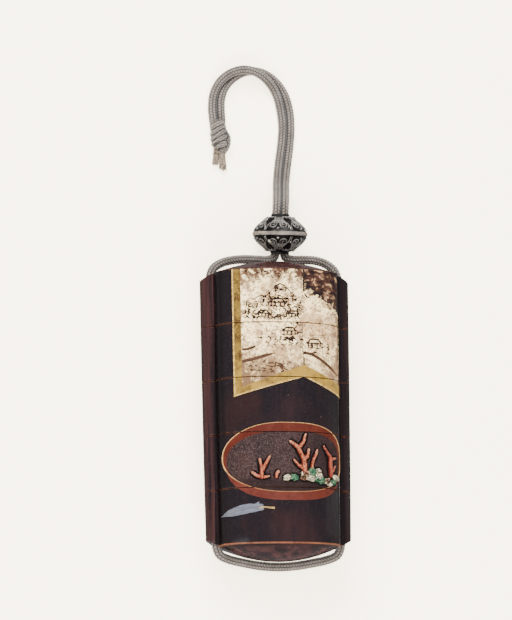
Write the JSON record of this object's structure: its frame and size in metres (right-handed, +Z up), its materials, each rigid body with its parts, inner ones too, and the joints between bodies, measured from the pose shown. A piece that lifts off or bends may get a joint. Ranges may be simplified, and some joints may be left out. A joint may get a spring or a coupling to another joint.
{
  "type": "inro case",
  "caption": "Small tiered carrying case in dark lacquer with a domed lid, nesting compartments, side cord channels, a slide bead and a knotted silk cord.",
  "frame": {"origin": "on the surface that the case lies on, under the middle of its back", "axes": "+Y along the case from its bottom end to its lid and on to the bead and knot, +X across it, +Z up through the decorated front"},
  "size_m": [0.0484, 0.1672, 0.0271],
  "materials": {
    "lacquer": "polished dark brown lacquer with fine streaks",
    "coral": "polished red coral",
    "stone": "polished green and white stone",
    "silver": "darkened openwork silver",
    "silk": "braided grey silk"
  },
  "bodies": {
    "root": {"lid": "lacquer", "case_1": "lacquer", "case_2": "lacquer", "case_3": "lacquer", "case_4": "lacquer", "coral_sprig": "coral", "coral_stub": "coral", "coral_branch": "coral", "coral_twig": "coral", "coral_fork": "coral", "stones_left": "stone", "stones_middle": "stone", "stones_right": "stone", "ojime_bead": "silver", "cord_loop": "silk", "cord_tail_upper": "silk", "cord_tail_lower": "silk", "cord_knot": "silk"}
  },
  "joints": []
}
